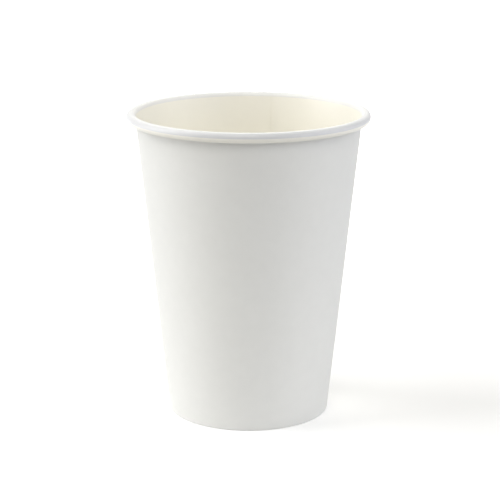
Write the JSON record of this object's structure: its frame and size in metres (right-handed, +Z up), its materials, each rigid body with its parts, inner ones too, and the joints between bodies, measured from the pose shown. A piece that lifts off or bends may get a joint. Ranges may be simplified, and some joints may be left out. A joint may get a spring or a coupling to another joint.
{
  "type": "paper cup",
  "caption": "Tapered single-wall paper cup for hot drinks, with a rolled rim, a lapped side seam and a recessed bottom disc held in a folded hem.",
  "frame": {"origin": "centre of the ring that the cup stands on, on the cup's axis", "axes": "+Z up along the cup's axis, towards the rim; the side seam lies behind, 78 degrees from +X towards +Y"},
  "size_m": [0.09, 0.09, 0.114],
  "materials": {
    "cup_board": "smooth matt white board outside, warm white coated lining inside",
    "disc_board": "warm white coated board, satin"
  },
  "bodies": {
    "root": {"sidewall": "cup_board", "bottom_disc": "disc_board"}
  },
  "joints": []
}
